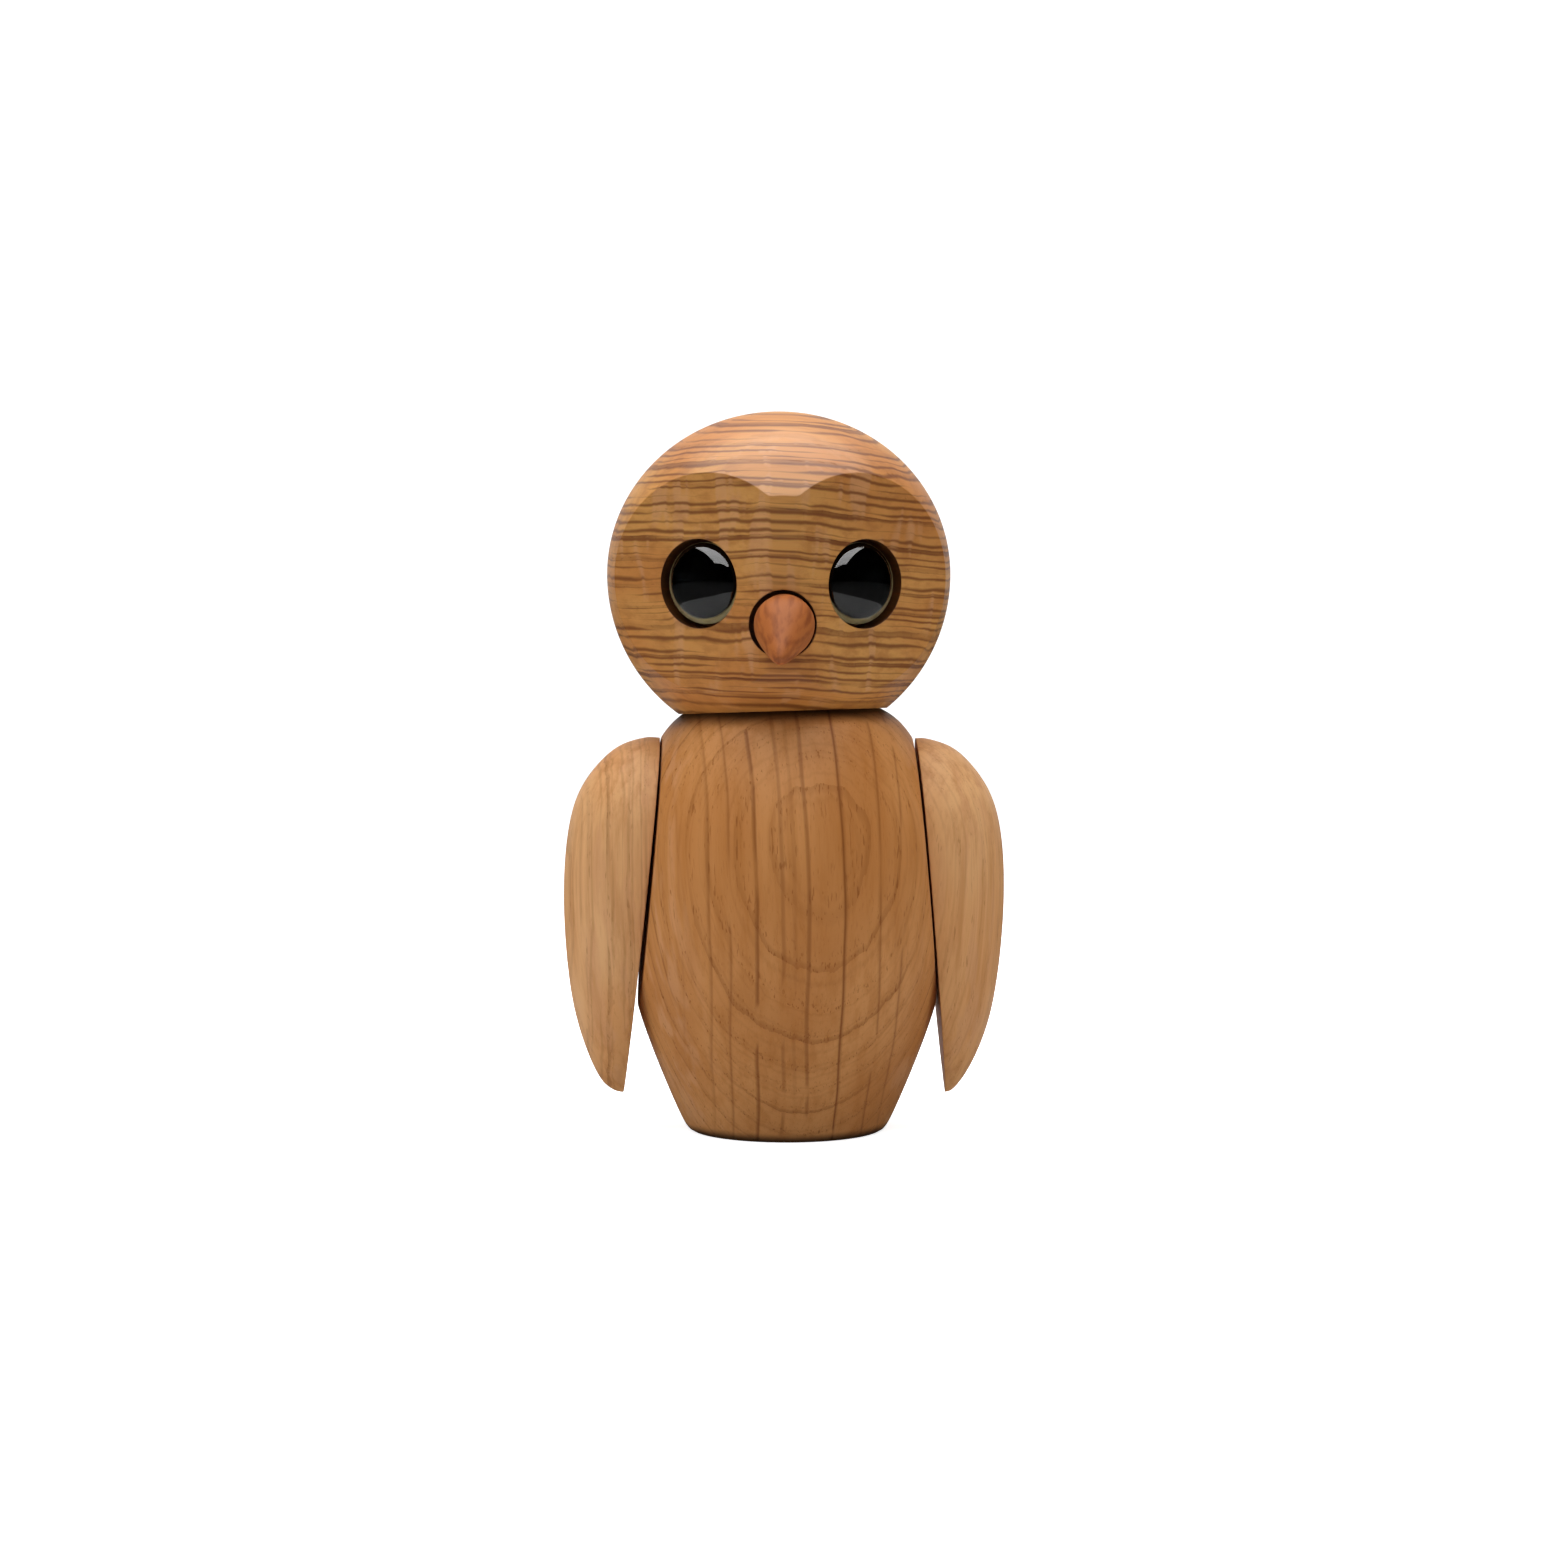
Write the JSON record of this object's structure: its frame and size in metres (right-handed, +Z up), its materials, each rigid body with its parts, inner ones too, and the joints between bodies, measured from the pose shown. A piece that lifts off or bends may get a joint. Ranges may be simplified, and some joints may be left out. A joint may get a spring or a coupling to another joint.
{
  "type": "carved wooden owl",
  "caption": "Small turned oak owl with a ball head, two-plane face, glass eyes, a short beak and half-teardrop wings at its sides; it stands on its flat underside.",
  "frame": {"origin": "centre of the round underside of the body", "axes": "+Z up along the turned body's axis, -Y towards the front of the body, +X to the right as seen from the front"},
  "size_m": [0.0738, 0.0613, 0.1199],
  "materials": {
    "oak_body": "oiled oak, satin",
    "oak_head": "oiled oak, satin",
    "oak_wings": "oiled oak, satin",
    "eye_glass": "clear polished glass over a painted pupil",
    "beak_wood": "reddish hardwood, satin"
  },
  "bodies": {
    "root": {"body": "oak_body", "head": "oak_head", "wing_left": "oak_wings", "wing_right": "oak_wings", "eye_left": "eye_glass", "eye_right": "eye_glass", "beak": "beak_wood"}
  },
  "joints": []
}
